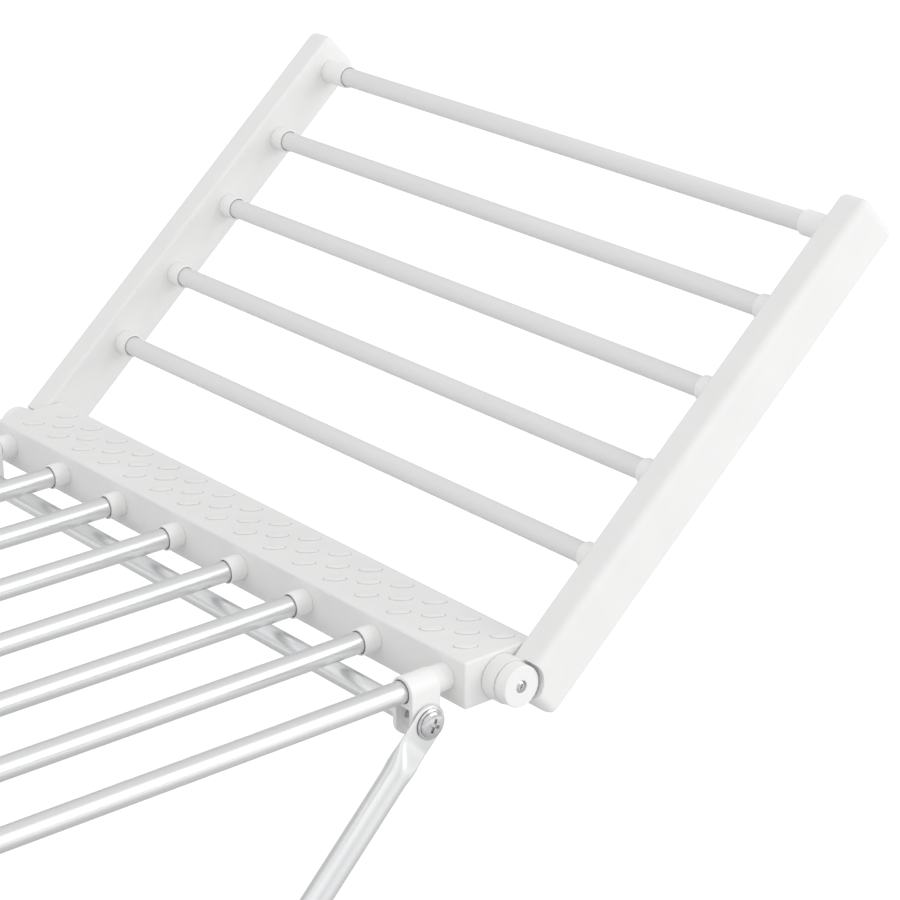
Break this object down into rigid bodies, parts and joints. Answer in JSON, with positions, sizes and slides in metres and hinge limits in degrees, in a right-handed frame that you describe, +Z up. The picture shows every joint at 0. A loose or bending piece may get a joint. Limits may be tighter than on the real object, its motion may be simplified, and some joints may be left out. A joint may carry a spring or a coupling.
{
  "type": "folding winged clothes airer",
  "caption": "Free-standing folding clothes airer: a deck of rails between two moulded end beams, a hinged wing of rods at each end, and a scissor pair of leg frames that folds flat.",
  "frame": {"origin": "on the floor under the middle of the deck, at the centre of the bounding box's base", "axes": "+X along the deck rails towards the end whose clips carry the outer leg frame, +Y across the rails, +Z up"},
  "size_m": [1.3436, 0.543, 1.0673],
  "materials": {
    "white_plastic": "satin moulded white, fine texture",
    "collar_plastic": "smooth moulded white",
    "foot_plastic": "matt moulded white",
    "nylon": "natural nylon",
    "bright_tube": "drawn and clear anodised, bright",
    "satin_tube": "pale satin coated",
    "leg_tube": "clear anodised",
    "plated_screw": "nickel plated",
    "spring_steel": "bare spring steel"
  },
  "bodies": {
    "deck": {"end_beam_right": "white_plastic", "end_beam_left": "white_plastic", "beam_cover_right": "white_plastic", "beam_cover_left": "white_plastic", "beam_cover_screws": "plated_screw", "deck_rail_1": "bright_tube", "deck_rail_2": "bright_tube", "deck_rail_3": "bright_tube", "deck_rail_4": "bright_tube", "deck_rail_5": "bright_tube", "deck_rail_6": "bright_tube", "deck_rail_7": "bright_tube", "deck_rail_8": "bright_tube", "rail_ferrules_right": "collar_plastic", "rail_ferrules_left": "collar_plastic", "leg_clip_front": "collar_plastic", "leg_clip_rear": "collar_plastic", "leg_catch_front": "collar_plastic", "leg_catch_rear": "collar_plastic", "pivot_axle_tube": "bright_tube", "axle_plugs": "nylon", "pivot_screws": "plated_screw", "pivot_washers": "plated_screw", "hinge_caps_right": "collar_plastic", "hinge_caps_left": "collar_plastic", "hinge_screws": "plated_screw", "hinge_spring_washers": "spring_steel"},
    "wing_right": {"wing_arm_right_front": "white_plastic", "wing_arm_right_rear": "white_plastic", "arm_covers_right": "white_plastic", "wing_ferrules_right": "collar_plastic", "wing_rod_right_1": "satin_tube", "wing_rod_right_2": "satin_tube", "wing_rod_right_3": "satin_tube", "wing_rod_right_4": "satin_tube", "wing_rod_right_5": "satin_tube"},
    "wing_left": {"wing_arm_left_front": "white_plastic", "wing_arm_left_rear": "white_plastic", "arm_covers_left": "white_plastic", "wing_ferrules_left": "collar_plastic", "wing_rod_left_1": "satin_tube", "wing_rod_left_2": "satin_tube", "wing_rod_left_3": "satin_tube", "wing_rod_left_4": "satin_tube", "wing_rod_left_5": "satin_tube"},
    "outer_legs": {"outer_leg_tubes": "leg_tube", "outer_foot_bar": "leg_tube", "outer_corner_feet": "foot_plastic", "crossing_bolts": "plated_screw", "crossing_spacers": "nylon", "crossing_nuts": "plated_screw"},
    "inner_legs": {"inner_leg_tubes": "leg_tube", "inner_foot_bar": "leg_tube", "inner_corner_feet": "foot_plastic", "inner_top_bar": "leg_tube", "top_bar_plugs": "nylon", "top_bar_screws": "plated_screw"}
  },
  "joints": [
    {"name": "wing_right_hinge", "type": "hinge", "parent": "deck", "child": "wing_right", "pos_m": [0.3841, 0, 0.8344], "axis": [0, -1, 0], "range_deg": [-41, 139]},
    {"name": "wing_left_hinge", "type": "hinge", "parent": "deck", "child": "wing_left", "pos_m": [-0.3841, 0, 0.8344], "axis": [0, 1, 0], "range_deg": [-41, 139]},
    {"name": "outer_leg_hinge", "type": "hinge", "parent": "deck", "child": "outer_legs", "pos_m": [0.3365, 0, 0.818], "axis": [0, 1, 0], "range_deg": [0, 41.5]},
    {"name": "leg_crossing_hinge", "type": "hinge", "parent": "outer_legs", "child": "inner_legs", "pos_m": [0.01406, 0, 0.49274], "axis": [0, 1, 0], "range_deg": [-83.4, 0]}
  ],
  "couplings": [
    {"joint": "leg_crossing_hinge", "follows": "outer_leg_hinge", "ratio": -2}
  ]
}
